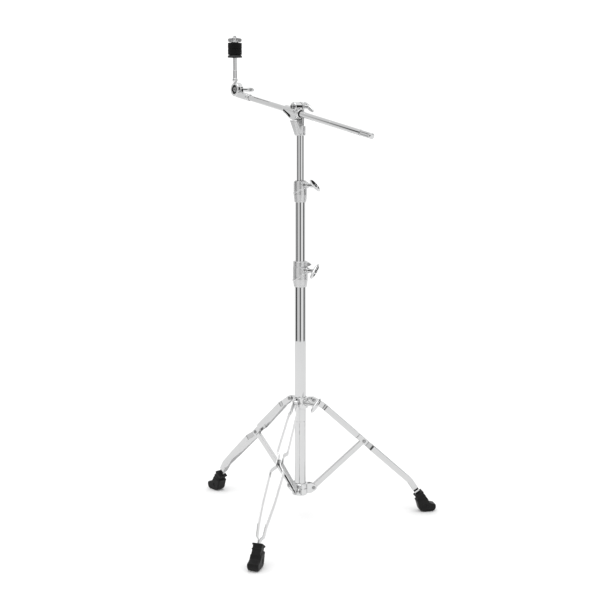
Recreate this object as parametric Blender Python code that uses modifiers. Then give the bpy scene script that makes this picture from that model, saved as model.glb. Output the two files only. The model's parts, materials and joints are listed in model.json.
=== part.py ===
"""Cymbal boom stand: a double-braced tripod, three telescoping tubes, a tilting
boom arm and a cymbal tilter with felts and wing nut.

Units are metres in the file; the design numbers below are millimetres and are
scaled by MM. +Z is up, the floor is z = 0."""
import bpy
import bmesh
from math import sin, cos, pi, radians, sqrt, atan2, hypot
from mathutils import Vector, Matrix

MM = 0.001
GAP = 0.3                       # clearance between touching pieces

# ---------------------------------------------------------------- placement
COLUMN_X, COLUMN_Y = -0.049271, 0.040587   # column axis, from the middle of the footprint

# ---------------------------------------------------------------- tubes
BASE_R, MID_R, TOP_R = 28.575 / 2, 25.4 / 2, 19.05 / 2
WALL = 1.2
BASE_Z = (72.0, 640.0)
MID_Z = (430.0, 852.0)
TOP_Z = (700.0, 1003.5)
TUBE_SEGS = 28

# ---------------------------------------------------------------- tripod
LEG_AZ = {"c": -17.5, "l": -136.0, "r": 101.3}   # from the front, + to the right
PIVOT_R = 33.5                  # radial offset of hub and lower pivots
LOW_Z = 85.0                    # lower pivots
ARM = 176.5                     # brace length = hub pivot to mid pivot
SPREAD = 49.1                   # brace angle from the column
HUB_Z = LOW_Z + 2 * ARM * cos(radians(SPREAD))
LEG_TOE, LEG_END = (312.5, 56.5), (328.0, 33.0)   # strap stations inside the foot
KNEE_R = PIVOT_R + ARM * sin(radians(SPREAD))
KNEE_Z = LOW_Z + ARM * cos(radians(SPREAD))
STRAP_W, STRAP_T = 14.6, 2.5
BRACE_W, BRACE_T, BRACE_WALL = 14.0, 8.0, 1.6
LUG_T = 4.5
TONGUE_T = 9.0
PIN_R, PIN_HOLE_R, PIN_HEAD_R = 2.9, 3.25, 4.7

# ---------------------------------------------------------------- collars
BASE_COLLAR_Z = (608.0, 657.0)
TOP_COLLAR_Z = (819.5, 871.5)
WING_SPAN, WING_W, WING_T = 45.0, 12.4, 9.0
BOLT_R, BOLT_HOLE_R = 3.2, 3.6
COLLAR_BOLT_AZ = 45.0
HUB_BOLT_AZ = 42.5

# ---------------------------------------------------------------- boom
BOOM_AZ = 38.0                  # plan direction of the rear end
BOOM_TILT = 11.9                # cymbal end up
CLAMP_Z = 1052.0                # clamp bolt axis
CUP_R, CUP_TOP = 35.4, 1026.0    # cup in the neck, about the clamp bolt
BOOM_DROP = 13.0                # boom axis below the clamp bolt
BOOM_N = -13.0                  # boom axis beside the column, along the bolt
BOOM_R = 7.0
BOOM_U = (-238.5, 247.0)        # rod ends, from the clamp
END_U = (247.3, 288.0)          # end sleeve
TILTER_S, TILTER_Z = -253.7, 1103.0
HEAD_N = -18.0                  # cymbal rod and head disc
DISC_R = 18.0
ROD_TOP = 1240.0
SEAT_Z = (1184.6, 1191.4)
FELT_Z = (1191.7, 1206.5, 1206.8, 1221.6)
FELT_R = 18.3

# ================================================================= helpers
for ob in list(bpy.data.objects):
    bpy.data.objects.remove(ob, do_unlink=True)

parts = bpy.data.collections.new("cymbal_boom_stand")
bpy.context.scene.collection.children.link(parts)
cutters = bpy.data.collections.new("cutters")
bpy.context.scene.collection.children.link(cutters)

X, Y, Z = Vector((1, 0, 0)), Vector((0, 1, 0)), Vector((0, 0, 1))


def frame(x, y, z, at=(0, 0, 0)):
    """Matrix with the given axes as columns, at a point in millimetres."""
    m = Matrix((x, y, z)).transposed().to_4x4()
    m.translation = Vector(at)
    return m


def radial(az):
    a = radians(az)
    return Vector((sin(a), -cos(a), 0))


def tangent(az):
    a = radians(az)
    return Vector((cos(a), sin(a), 0))


def add_object(name, bm, coll=None):
    bmesh.ops.recalc_face_normals(bm, faces=bm.faces)
    me = bpy.data.meshes.new(name)
    bm.to_mesh(me)
    bm.free()
    ob = bpy.data.objects.new(name, me)
    (coll or cutters).objects.link(ob)
    ob.hide_render = coll is None
    if coll is None:
        ob.display_type = "WIRE"
    return ob


def bake(ob):
    """Replace the object's mesh by its evaluated mesh."""
    bpy.context.view_layer.update()
    dg = bpy.context.evaluated_depsgraph_get()
    me = bpy.data.meshes.new_from_object(ob.evaluated_get(dg))
    old = ob.data
    ob.modifiers.clear()
    ob.data = me
    bpy.data.meshes.remove(old)
    return ob


def transform(ob, m):
    """Take a mesh drawn in millimetres in frame m into metres."""
    ob.data.transform(Matrix.Scale(MM, 4) @ m)
    ob.data.update()
    return ob


def lathe(name, profile, m=Matrix(), segs=24, ring=False):
    """Turned solid: profile of (radius, height) down its outer side."""
    bm = bmesh.new()
    vs = [bm.verts.new((r, 0, h)) for r, h in profile]
    for a, b in zip(vs, vs[1:]):
        bm.edges.new((a, b))
    if ring:
        bm.edges.new((vs[-1], vs[0]))
    me = bpy.data.meshes.new(name)
    bm.to_mesh(me)
    bm.free()
    ob = bpy.data.objects.new(name, me)
    cutters.objects.link(ob)
    ob.hide_render = True
    ob.display_type = "WIRE"
    sc = ob.modifiers.new("turn", "SCREW")
    sc.axis = "Z"
    sc.angle = 2 * pi
    sc.steps = sc.render_steps = segs
    sc.use_merge_vertices = True
    sc.merge_threshold = 0.0001
    bake(ob)
    bm = bmesh.new()
    bm.from_mesh(ob.data)
    bmesh.ops.remove_doubles(bm, verts=bm.verts, dist=0.0001)
    bmesh.ops.recalc_face_normals(bm, faces=bm.faces)
    bm.to_mesh(ob.data)
    bm.free()
    return transform(ob, m)


def ring(name, r_out, r_in, z0, z1, m=Matrix(), segs=24):
    return lathe(name, [(r_out, z1), (r_out, z0), (r_in, z0), (r_in, z1)], m, segs, ring=True)


def rod(name, r, z0, z1, m=Matrix(), segs=16):
    bm = bmesh.new()
    bmesh.ops.create_cone(bm, cap_ends=True, segments=segs, radius1=r, radius2=r, depth=z1 - z0,
                          matrix=Matrix.Translation((0, 0, (z0 + z1) / 2)))
    return transform(add_object(name, bm), m)


def block(name, lo, hi, m=Matrix()):
    bm = bmesh.new()
    size = [b - a for a, b in zip(lo, hi)]
    mid = [(a + b) / 2 for a, b in zip(lo, hi)]
    bmesh.ops.create_cube(bm, size=1, matrix=Matrix.Translation(mid) @ Matrix.Diagonal((*size, 1)))
    return transform(add_object(name, bm), m)


def prism(name, outline, t0, t1, m=Matrix()):
    """Flat outline in the frame's XY plane, thick from t0 to t1 along Z."""
    bm = bmesh.new()
    face = bm.faces.new([bm.verts.new((x, y, t0)) for x, y in outline])
    top = bmesh.ops.extrude_face_region(bm, geom=[face])
    bmesh.ops.translate(bm, vec=(0, 0, t1 - t0),
                        verts=[g for g in top["geom"] if isinstance(g, bmesh.types.BMVert)])
    return transform(add_object(name, bm), m)


def hull(name, points, m=Matrix()):
    bm = bmesh.new()
    for p in points:
        bm.verts.new(p)
    res = bmesh.ops.convex_hull(bm, input=bm.verts)
    junk = [g for g in res["geom_interior"] if isinstance(g, bmesh.types.BMVert)]
    bmesh.ops.delete(bm, geom=junk, context="VERTS")
    bmesh.ops.dissolve_limit(bm, angle_limit=0.01, verts=bm.verts, edges=bm.edges)
    return transform(add_object(name, bm), m)


def arc(cx, cy, r, a0, a1, n):
    """n + 1 points of an arc, in degrees."""
    return [(cx + r * cos(radians(a0 + (a1 - a0) * k / n)), cy + r * sin(radians(a0 + (a1 - a0) * k / n)))
            for k in range(n + 1)]


def merge(ob, add=(), cut=()):
    """Boolean unions, then differences; the tools are removed afterwards."""
    for op, tools in (("UNION", add), ("DIFFERENCE", cut)):
        for tool in tools:
            mod = ob.modifiers.new(op.lower(), "BOOLEAN")
            mod.operation = op
            mod.solver = "EXACT"
            mod.object = tool
            bake(ob)
            bpy.data.objects.remove(tool, do_unlink=True)
    return ob


FINISH = {                      # colour, roughness, metallic
    "chrome": ((0.80, 0.81, 0.83), 0.10, 1.0),
    "cast": ((0.66, 0.67, 0.69), 0.32, 1.0),
    "steel": ((0.72, 0.73, 0.75), 0.26, 1.0),
    "zinc": ((0.55, 0.56, 0.58), 0.35, 1.0),
    "nylon": ((0.03, 0.03, 0.032), 0.45, 0.0),
    "rubber": ((0.015, 0.015, 0.016), 0.70, 0.0),
    "felt": ((0.02, 0.02, 0.022), 0.95, 0.0),
}


def finish(ob, name, kind, origin=(0, 0, 0)):
    """Name the piece, give it its material and put its origin at a point (mm)."""
    bm = bmesh.new()
    bm.from_mesh(ob.data)
    bmesh.ops.remove_doubles(bm, verts=bm.verts, dist=0.000002)
    bmesh.ops.dissolve_degenerate(bm, edges=bm.edges, dist=0.000002)
    bm.to_mesh(ob.data)
    bm.free()
    at = Vector(origin) * MM
    ob.data.transform(Matrix.Translation(-at))
    ob.location = at + Vector((COLUMN_X, COLUMN_Y, 0))
    ob.name = name
    ob.data.name = name
    ob.hide_render = False
    ob.display_type = "TEXTURED"
    cutters.objects.unlink(ob)
    parts.objects.link(ob)
    colour, rough, metal = FINISH[kind]
    mat = bpy.data.materials.new(name + "_" + kind)
    mat.use_nodes = True
    bsdf = mat.node_tree.nodes["Principled BSDF"]
    bsdf.inputs["Base Color"].default_value = (*colour, 1)
    bsdf.inputs["Roughness"].default_value = rough
    bsdf.inputs["Metallic"].default_value = metal
    ob.data.materials.clear()
    ob.data.materials.append(mat)
    ob.data.shade_smooth()
    ob.data.set_sharp_from_angle(angle=radians(32))
    return ob


def outward(az, z):
    """Z along a radial bolt at azimuth az and height z, X to its right, Y up."""
    a, h = radial(az), tangent(az)
    return frame(h, a.cross(h), a, (0, 0, z))


# ================================================================= tubes
finish(ring("t", BASE_R, BASE_R - WALL, *BASE_Z, segs=TUBE_SEGS), "base_tube", "chrome")
finish(ring("t", MID_R, MID_R - WALL, *MID_Z, segs=TUBE_SEGS), "middle_tube", "chrome", (0, 0, MID_Z[0]))
finish(ring("t", TOP_R, TOP_R - WALL, *TOP_Z, segs=TUBE_SEGS), "top_tube", "chrome", (0, 0, TOP_Z[0]))

# plastic plug closing the foot of the base tube, inside the lower collar
plug = lathe("t", [(0, 88), (BASE_R - WALL - GAP, 88), (BASE_R - WALL - GAP, 72.4), (9.6, 72.4), (9.6, 67.2), (0, 67.2)], segs=20)
finish(plug, "base_tube_plug", "nylon")

# ================================================================= lower collar
LOW_COLLAR_Z = (68.0, 98.5)
LUG_IN = BRACE_T / 2 + 0.45
body = lathe("t", [(16.9, 98.5), (18.6, 96.8), (18.6, 70.5), (16.6, 68.0), (10.2, 68.0), (10.2, 71.6),
                   (BASE_R + GAP, 71.6), (BASE_R + GAP, 98.5)], segs=28, ring=True)
lugs, holes = [], []
for az in LEG_AZ.values():
    m = frame(radial(az), Z, -tangent(az))
    out = [(15.6, 71.5), (27.0, 71.5)] + arc(PIVOT_R, LOW_Z, 8.6, -58, 78, 6) + [(27.0, 96.4), (15.6, 96.4)]
    for side in (-1, 1):
        a, b = sorted((side * LUG_IN, side * (LUG_IN + LUG_T)))
        lugs.append(prism("lug", out, a, b, m))
    pm = frame(radial(az), Z, -tangent(az), radial(az) * PIVOT_R + Z * LOW_Z)
    holes.append(rod("hole", PIN_HOLE_R, -12, 12, pm, segs=14))
merge(body, lugs, holes)
finish(body, "lower_collar", "cast")

# ================================================================= leg hub
HUB_BODY = (296.5, 325.0)
HUB_BOLT_Z = 312.5
body = lathe("t", [(18.0, 325.0), (19.6, 323.4), (19.6, 298.6), (18.0, 296.5), (BASE_R + GAP, 296.5),
                   (BASE_R + GAP, 325.0)], segs=28, ring=True)
lugs, holes = [], []
for az in LEG_AZ.values():
    m = frame(radial(az), Z, -tangent(az))
    out = ([(16.4, HUB_Z - 14), (25.0, HUB_Z - 10.5)] + arc(PIVOT_R, HUB_Z, 7.4, -60, 90, 6)
           + [(26.0, HUB_Z + 7.9), (16.4, HUB_Z + 7.9)])
    lugs.append(prism("lug", out, -TONGUE_T / 2, TONGUE_T / 2, m))
    pm = frame(radial(az), Z, -tangent(az), radial(az) * PIVOT_R + Z * HUB_Z)
    holes.append(rod("hole", PIN_HOLE_R, -12, 12, pm, segs=14))
hm = outward(HUB_BOLT_AZ, HUB_BOLT_Z)
lugs.append(rod("boss", 7.2, 17.0, 30.5, hm, segs=18))
holes.append(rod("hole", BOLT_HOLE_R, 10.0, 40.0, hm, segs=14))
merge(body, lugs, holes)
finish(body, "leg_hub", "cast", (0, 0, HUB_Z))


# ================================================================= pins
def pivot_pin(name, az, r, z, half):
    """Riveted pin across a leg plane; half is the half-width it holds."""
    at = radial(az) * r + Z * z
    m = frame(radial(az), Z, -tangent(az), at)
    g = half + GAP
    prof = [(0, g + 1.9), (3.0, g + 1.9), (PIN_HEAD_R, g + 0.9), (PIN_HEAD_R, g), (PIN_R, g), (PIN_R, -g),
            (PIN_HEAD_R, -g), (PIN_HEAD_R, -g - 0.9), (3.0, -g - 1.9), (0, -g - 1.9)]
    finish(lathe("t", prof, m, segs=14), name, "zinc", at)


# ================================================================= legs
def unit(a, b):
    d = (b[0] - a[0], b[1] - a[1])
    n = hypot(*d)
    return d[0] / n, d[1] / n


def leg_path():
    """Stations of a strap: (radius, height, half-width, sideways offset)."""
    hub, p1, knee = (PIVOT_R, HUB_Z), (PIVOT_R + 27.5, HUB_Z - 18.5), (KNEE_R, KNEE_Z)
    bend, toe, end = (293.0, 86.0), LEG_TOE, LEG_END
    t_hub = TONGUE_T / 2 + 0.4 + STRAP_T / 2
    t_knee = BRACE_T / 2 + 0.4 + STRAP_T / 2
    t_toe = 0.25 + STRAP_T / 2
    w = STRAP_W / 2
    st = []
    d = unit(hub, p1)
    for k in range(4):                                   # rounded top end
        a = radians(90 * k / 4)
        st.append((hub[0] - d[0] * w * cos(a), hub[1] - d[1] * w * cos(a), max(w * sin(a), 1.6), t_hub, d))
    st.append((hub[0], hub[1], w, t_hub, d))
    st.append((p1[0] - d[0] * 3.0, p1[1] - d[1] * 3.0, w, t_hub, d))
    d2 = unit(p1, knee)
    full = hypot(knee[0] - p1[0], knee[1] - p1[1])
    dm = ((d[0] + d2[0]) / 2, (d[1] + d2[1]) / 2)
    st.append((p1[0], p1[1], w, t_hub + 0.4, dm))
    for s, t in ((4.0, 10.0), (full - 28, 13.0), (full - 25.5, 12.4), (full - 21.0, t_knee)):
        st.append((p1[0] + d2[0] * s, p1[1] + d2[1] * s, w, t, d2))
    st.append((knee[0], knee[1], w, t_knee, d2))
    d3 = unit(knee, bend)
    full = hypot(bend[0] - knee[0], bend[1] - knee[1])
    for s, t in ((12.0, t_knee), (21.0, 14.0), (27.0, 16.6), (full - 55, 14.2), (full - 8, 10.4), (full, 9.8)):
        st.append((knee[0] + d3[0] * s, knee[1] + d3[1] * s, w, t, d3))
    d4 = unit(bend, toe)
    full = hypot(toe[0] - bend[0], toe[1] - bend[1])
    for s, t in ((9.0, 9.0), (full - 9.0, 8.0), (full - 2.0, t_toe)):
        st.append((bend[0] + d4[0] * s, bend[1] + d4[1] * s, w, t, d4))
    d5 = unit(toe, end)
    st.append((end[0], end[1], w - 1.0, t_toe, d5))
    return st


def strap(name, az, side):
    """One flat steel strap of a leg: a ribbon given its thickness by Solidify."""
    u, t = radial(az), tangent(az)
    bm = bmesh.new()
    rows = []
    for r, z, w, off, d in leg_path():
        nx, nz = -d[1], d[0]                              # across the strap, in the leg plane
        n = hypot(nx, nz)
        nx, nz = nx / n, nz / n
        rows.append([bm.verts.new((u * (r + nx * k) + t * side * off + Z * (z + nz * k)) * MM) for k in (-w, w)])
    for a, b in zip(rows, rows[1:]):
        bm.faces.new((a[0], b[0], b[1], a[1]))
    ob = add_object("strap", bm)
    so = ob.modifiers.new("gauge", "SOLIDIFY")
    so.thickness = STRAP_T * MM
    so.offset = 0
    so.use_even_offset = True
    bake(ob)
    cuts = []
    for r, z in ((PIVOT_R, HUB_Z), (KNEE_R, KNEE_Z)):
        cuts.append(rod("hole", PIN_HOLE_R, -30, 30, frame(u, Z, -t, u * r + Z * z), segs=12))
    merge(ob, cut=cuts)
    return finish(ob, name, "steel", u * PIVOT_R + Z * HUB_Z)


def foot_outline():
    """Side view of the rubber foot: sleeve, heel, sole and turned-up toe."""
    return ([(306.6, 43.6), (314.5, 26.0)] + arc(332.0, 14.0, 14.0, 200, 270, 4) + arc(352.0, 12.5, 12.5, -90, 25, 5)
            + [(355.5, 19.6), (350.5, 24.5), (348.0, 31.5), (337.5, 47.5), (327.6, 57.4)])


def foot(name, az):
    u = radial(az)
    m = frame(u, Z, -tangent(az))
    ob = prism("foot", foot_outline(), -14.0, 14.0, m)
    be = ob.modifiers.new("edge", "BEVEL")
    be.width = 3.2 * MM
    be.segments = 1
    be.limit_method = "ANGLE"
    be.angle_limit = radians(60)
    bake(ob)
    # slot for the two straps
    d = unit(LEG_TOE, LEG_END)
    n = (-d[1], d[0])
    half, t = STRAP_W / 2 + 0.5, STRAP_T + 0.25 + 0.5
    a, b = (LEG_TOE[0] - d[0] * 20, LEG_TOE[1] - d[1] * 20), (LEG_END[0] + d[0] * 0.8, LEG_END[1] + d[1] * 0.8)
    quad = [(a[0] - n[0] * half, a[1] - n[1] * half), (b[0] - n[0] * half, b[1] - n[1] * half),
            (b[0] + n[0] * half, b[1] + n[1] * half), (a[0] + n[0] * half, a[1] + n[1] * half)]
    merge(ob, cut=[prism("slot", quad, -t, t, m)])
    return finish(ob, name, "rubber", u * PIVOT_R + Z * HUB_Z)


def brace(name, az):
    """Folded U channel from the lower pivot up to the leg, open below."""
    u = radial(az)
    low, knee = (PIVOT_R, LOW_Z), (KNEE_R, KNEE_Z)
    d = unit(low, knee)
    n = (-d[1], d[0])
    m = frame(u * d[0] + Z * d[1], u * n[0] + Z * n[1], -tangent(az), u * low[0] + Z * low[1])
    r = BRACE_W / 2
    out = arc(ARM, 0, r, -90, 90, 8) + arc(0, 0, r, 90, 270, 8)
    ob = prism("brace", out, -BRACE_T / 2, BRACE_T / 2, m)
    wall = BRACE_T / 2 - BRACE_WALL
    cuts = [block("channel", (-20, -r - 2, -wall), (ARM + 20, r - BRACE_WALL, wall), m),
            rod("hole", PIN_HOLE_R, -12, 12, m, segs=14),
            rod("hole", PIN_HOLE_R, -12, 12, m @ Matrix.Translation((ARM, 0, 0)), segs=14)]
    merge(ob, cut=cuts)
    return finish(ob, name, "steel", u * low[0] + Z * low[1])


NAMES = {"c": "front", "l": "left", "r": "right"}
for key, az in LEG_AZ.items():
    tag = NAMES[key]
    strap(f"{tag}_leg_strap_inner", az, -1)
    strap(f"{tag}_leg_strap_outer", az, 1)
    foot(f"{tag}_foot", az)
    brace(f"{tag}_brace", az)
    pivot_pin(f"{tag}_hub_pin", az, PIVOT_R, HUB_Z, TONGUE_T / 2 + 0.4 + STRAP_T)
    pivot_pin(f"{tag}_knee_pin", az, KNEE_R, KNEE_Z, BRACE_T / 2 + 0.4 + STRAP_T)
    pivot_pin(f"{tag}_lower_pin", az, PIVOT_R, LOW_Z, LUG_IN + LUG_T)


# ================================================================= wing bolts
def wing_outline():
    """Oval blade seen along the bolt, span along x, a little wider at its middle."""
    h = WING_SPAN / 2
    return (arc(h - 5.0, 0, 5.0, -80, 80, 6) + [(0, WING_W / 2)] + arc(-(h - 5.0), 0, 5.0, 100, 260, 6)
            + [(0, -WING_W / 2)])


def wing_bolt(name, m, psi, tip, shoulder, centre, origin, shank=BOLT_R):
    """T-shaped wing bolt along the frame's Z; psi turns the wings."""
    w = Matrix.Rotation(radians(psi), 4, "Z")
    mm = m @ w
    stem = lathe("t", [(0, centre + 6.0), (4.4, centre + 6.0), (5.6, centre + 4.0), (5.6, centre - 4.0), (4.9, shoulder + 1.6),
                       (6.3, shoulder + 1.4), (6.3, shoulder), (shank, shoulder), (shank, tip + 0.8), (shank - 0.8, tip), (0, tip)],
                 mm, segs=16)
    plate = prism("wing", wing_outline(), centre - WING_T / 2, centre + WING_T / 2, mm)
    merge(stem, [plate])
    return finish(stem, name, "cast", origin)


# hub bolt
wing_bolt("hub_wing_bolt", hm, 43.0, 15.2, 31.0, 58.0, hm @ Vector((0, 0, 30)))


# ================================================================= collars on the tubes
def collar_piece(name, zs, tube_r, seat_z, bush_r, r_top, taper_z, bolt_z, az, origin):
    """Cast height clamp: straight top, tapered skirt, radial bolt boss."""
    z0, z1 = zs
    r_low = tube_r + GAP + 1.7
    prof = [(r_top - 1.2, z1), (r_top, z1 - 1.2), (r_top, taper_z), (r_low, z0 + 0.8), (r_low - 0.7, z0),
            (tube_r + GAP, z0), (tube_r + GAP, seat_z + GAP), (bush_r, seat_z + GAP), (bush_r, z1)]
    body = lathe("t", prof, segs=28, ring=True)
    m = outward(az, bolt_z)
    boss = rod("boss", 7.6, bush_r + 1.2, r_top + 8.5, m, segs=18)
    merge(body, [boss], [rod("hole", BOLT_HOLE_R, tube_r - 4, r_top + 20, m, segs=14)])
    finish(body, name, "cast", origin)
    return m


m = collar_piece("base_collar", BASE_COLLAR_Z, BASE_R, BASE_Z[1], 17.0, 19.0, 627.0, 651.0, COLLAR_BOLT_AZ, (0, 0, 651.0))
finish(ring("t", 16.7, MID_R + GAP, BASE_Z[1] + 2 * GAP, 658.0, segs=24), "base_bushing", "nylon")
wing_bolt("base_wing_bolt", m, 49.8, 17.3, 28.0, 50.5, m @ Vector((0, 0, 28)))

m = collar_piece("top_collar", TOP_COLLAR_Z, MID_R, MID_Z[1], 14.2, 16.8, 838.0, 862.0, COLLAR_BOLT_AZ, (0, 0, 862.0))
finish(ring("t", 13.9, TOP_R + GAP, MID_Z[1] + 2 * GAP, 872.5, segs=24), "top_bushing", "nylon")
wing_bolt("top_wing_bolt", m, -39.0, 14.5, 25.8, 50.5, m @ Vector((0, 0, 26)))

# ================================================================= memory lock
LOCK_Z = (658.4, 672.8)
LOCK_AZ = 62.0
body = lathe("t", [(17.0, 672.8), (18.0, 671.8), (18.0, 659.4), (17.0, 658.4), (MID_R + 0.25, 658.4), (MID_R + 0.25, 672.8)],
             segs=28, ring=True)
m = outward(LOCK_AZ, 665.6)
merge(body, [block("ear", (-5.5, -5.5, 15.0), (5.5, 5.5, 23.0), m)],
      [rod("hole", 2.6, 10, 30, m, segs=12)])
finish(body, "memory_lock", "cast", (0, 0, LOCK_Z[0]))
screw = lathe("t", [(0, 30.2), (2.0, 30.2), (2.0, 26.4), (3.9, 26.4), (3.9, 23.3), (2.2, 23.3), (2.2, 13.6), (0, 13.6)], m, segs=12)
finish(screw, "memory_lock_screw", "zinc", (0, 0, LOCK_Z[0]))

# ================================================================= boom clamp
D, N = radial(BOOM_AZ), tangent(BOOM_AZ)
ct, st_ = cos(radians(BOOM_TILT)), sin(radians(BOOM_TILT))
E = D * ct - Z * st_            # along the boom, to its rear end
G = D * st_ + Z * ct            # across it, upwards
CLAMP = Vector((0, 0, CLAMP_Z))
BOOM_O = CLAMP - G * BOOM_DROP + N * BOOM_N
along = frame(G, E.cross(G), E, BOOM_O)                   # Z along the boom
across = frame(D, N.cross(D), N, CLAMP)                   # Z along the clamp bolt
side = frame(D, Z, D.cross(Z), CLAMP)                     # XY = plan direction and height, thickness = -N

# base casting: socket, flared neck, cup under the clamp, ear behind it
socket = lathe("t", [(0, 1006.2), (12.0, 1006.2), (13.0, 1005.0), (13.0, 984.0), (12.2, 982.7), (TOP_R + GAP, 982.7),
                     (TOP_R + GAP, TOP_Z[1] + GAP), (0, TOP_Z[1] + GAP)], segs=28)
low_ring = [Vector((12.8 * cos(2 * pi * k / 16) - 1.2, 12.8 * sin(2 * pi * k / 16), 984.2)) for k in range(16)]
cup_rim = [D * q + N * n + Z * CUP_TOP for q, n in ((-16, -22.5), (-12, -25), (5, -25), (8, -21), (4, -5.5), (-12, -2.5), (-16, -6))]
neck = hull("neck", [tuple(p) for p in low_ring + cup_rim])
ear_out = [(-9.5, -52.0), (9.5, -52.0), (10.5, -38.0)] + arc(0, 0, 12.6, -30, 210, 12)
ear = prism("ear", ear_out, -4.0, 1.9, side)
cup = rod("cup", CUP_R, -40.0, -1.9, across, segs=40)
bolt_hole = rod("hole", 3.3, -40, 20, across, segs=14)
tube_room = rod("room", TOP_R + GAP, 970.0, TOP_Z[1] + GAP, segs=28)
merge(neck, cut=[cup])
merge(socket, [neck, ear], [bolt_hole, tube_room])
finish(socket, "boom_casting", "cast", (0, 0, TOP_Z[1]))

# clamp body that swings on the bolt and grips the boom
knuckle = lathe("t", [(0, -2.3), (11.2, -2.3), (11.6, -2.9), (11.6, -21.8), (10.2, -23.6), (0, -23.6)], across, segs=24)
sleeve = lathe("t", [(0, 22.0), (10.0, 22.0), (11.0, 21.0), (11.0, -38.0), (10.0, -39.5), (0, -39.5)], along, segs=24)
jaw = prism("jaw", [(-44.0, 4.5), (-46.0, -7.2), (-15.0, -28.4), (-2.0, -32.0), (9.0, -29.5), (14.0, -22.0), (14.0, -12.0), (-10.0, 0.0)], 4.6, 22.4, side)
merge(knuckle, [sleeve, jaw], [rod("bore", 8.9, -60, 60, along, segs=24), rod("hole", 3.3, -40, 20, across, segs=14)])
finish(knuckle, "boom_clamp", "cast", CLAMP)
finish(ring("t", 8.6, BOOM_R + GAP, -41.0, 23.0, along, segs=20), "boom_bushing", "nylon", CLAMP)

# clamp bolt and its wing nut
bolt = lathe("t", [(0, 20.0), (2.9, 20.0), (2.9, -24.0), (5.6, -24.0), (5.6, -27.2), (4.8, -28.0), (0, -28.0)], across, segs=14)
hexkey = rod("key", 2.4, -40, -25.5, across, segs=6)
merge(bolt, cut=[hexkey])
finish(bolt, "clamp_bolt", "zinc", CLAMP)


def wing_nut_piece(name, m, psi, shoulder, centre, bore, origin):
    """Wing nut on a bolt along the frame's Z, bored from the shoulder."""
    mm = m @ Matrix.Rotation(radians(psi), 4, "Z")
    stem = lathe("t", [(0, centre + 6.0), (4.4, centre + 6.0), (5.8, centre + 4.0), (5.8, centre - 4.0), (5.2, shoulder + 3.4),
                       (7.4, shoulder + 2.4), (7.4, shoulder), (0, shoulder)], mm, segs=16)
    plate = prism("wing", wing_outline(), centre - WING_T / 2, centre + WING_T / 2, mm)
    merge(stem, [plate], [rod("bore", 3.2, shoulder - 5, bore, mm, segs=14)])
    return finish(stem, name, "cast", origin)


wing_nut_piece("clamp_wing_nut", across, 31.0, 4.4, 26.0, 22.0, CLAMP + N * 4.4)

# ================================================================= boom arm
finish(ring("t", BOOM_R, BOOM_R - 1.4, *BOOM_U, along, segs=24), "boom_rod", "chrome", BOOM_O)
end = lathe("t", [(0, END_U[1]), (5.6, END_U[1]), (6.9, END_U[1] - 1.2), (6.9, END_U[1] - 4.0), (6.5, END_U[1] - 4.6),
                  (6.5, END_U[0] + 0.8), (6.0, END_U[0]), (5.2, END_U[0]), (5.2, END_U[0] - 14.0), (0, END_U[0] - 14.0)], along, segs=20)
finish(end, "boom_end_stop", "chrome", BOOM_O)

# ================================================================= cymbal tilter
HINGE = D * TILTER_S + Z * TILTER_Z
tilt = frame(D, N.cross(D), N, HINGE)                     # Z along the tilter bolt
u_hinge = (HINGE - BOOM_O).dot(E)
sleeve = lathe("t", [(0, -194.0), (7.9, -194.0), (8.9, -195.2), (8.9, u_hinge + 3.0), (0, u_hinge + 3.0)], along, segs=24)
disc = rod("disc", DISC_R, -13.8, -5.2, tilt, segs=32)
web = block("web", (2.0, -2.0, -13.0), (20.0, 14.0, -6.0), tilt)
cuts = [rod("room", DISC_R + 0.9, -40.0, -14.1, tilt, segs=32),
        rod("bore", BOOM_R + GAP, BOOM_U[0] - GAP, -150.0, along, segs=24),
        rod("hole", 3.3, -40, 20, tilt, segs=14)]
merge(sleeve, [disc, web], cuts)
finish(sleeve, "tilter_base", "cast", HINGE)

head = lathe("t", [(0, -14.4), (DISC_R, -14.4), (DISC_R, -19.6), (DISC_R - 1.6, -21.4), (11.6, -21.4), (10.4, -17.9), (0, -17.9)],
             tilt, segs=32)
rod_m = frame(D, N, Z, D * TILTER_S + N * HEAD_N)        # Z along the cymbal rod
neck = lathe("t", [(0, 1131.0), (6.2, 1131.0), (7.0, 1129.6), (7.0, 1125.4), (3.8, 1121.6), (3.8, 1117.0), (0, 1117.0)], rod_m, segs=20)
merge(head, [neck], [rod("hole", 3.3, -40, 20, tilt, segs=14), rod("bore", 5.4 + GAP, 1127.0, 1140.0, rod_m, segs=20)])
finish(head, "tilter_head", "cast", HINGE)

bolt = lathe("t", [(0, 24.0), (2.9, 24.0), (2.9, -18.2), (5.8, -18.2), (5.8, -20.2), (5.0, -21.0), (0, -21.0)], tilt, segs=14)
merge(bolt, cut=[rod("key", 2.4, -40, -19.3, tilt, segs=6)])
finish(bolt, "tilter_bolt", "zinc", HINGE)
wing_nut_piece("tilter_wing_nut", tilt, 2.0, -4.9, 27.0, 25.5, HINGE + N * -4.9)

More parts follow.
